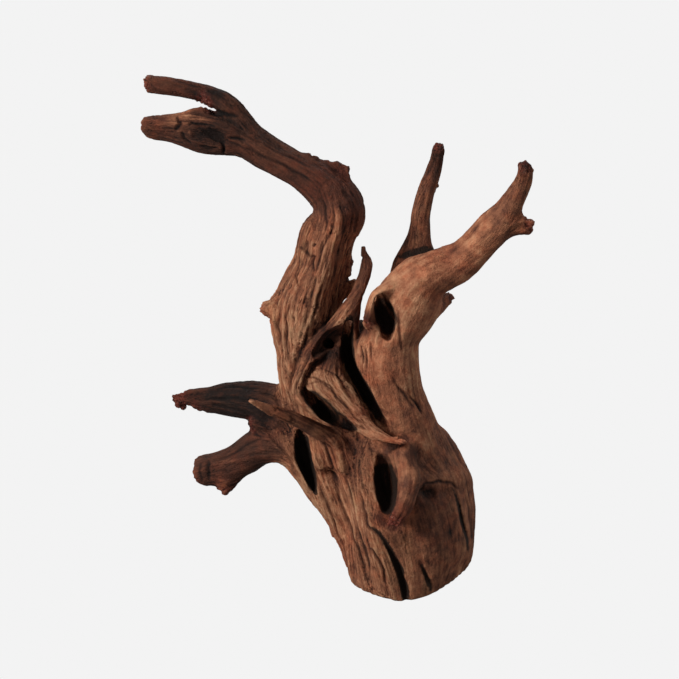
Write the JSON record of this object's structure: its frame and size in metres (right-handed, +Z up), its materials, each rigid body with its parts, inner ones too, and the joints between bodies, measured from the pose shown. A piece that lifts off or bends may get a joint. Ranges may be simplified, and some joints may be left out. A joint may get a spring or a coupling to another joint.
{
  "type": "driftwood",
  "caption": "Weathered root stump sawn flat at the foot, with a bent forked arm, a shorter arm, a twig, broken stubs, thin spikes, knot holes and open cracks.",
  "frame": {"origin": "middle of the sawn foot, on the plane it stands on", "axes": "+Z up, +X to the right of the viewer who sees the long arm on the left, +Y away from that viewer"},
  "size_m": [0.1934, 0.0875, 0.2561],
  "materials": {
    "wood": "weathered bare wood, matt, orange-brown on the worn sides and dark brown in the hollows"
  },
  "bodies": {
    "root": {"driftwood": "wood"}
  },
  "joints": []
}
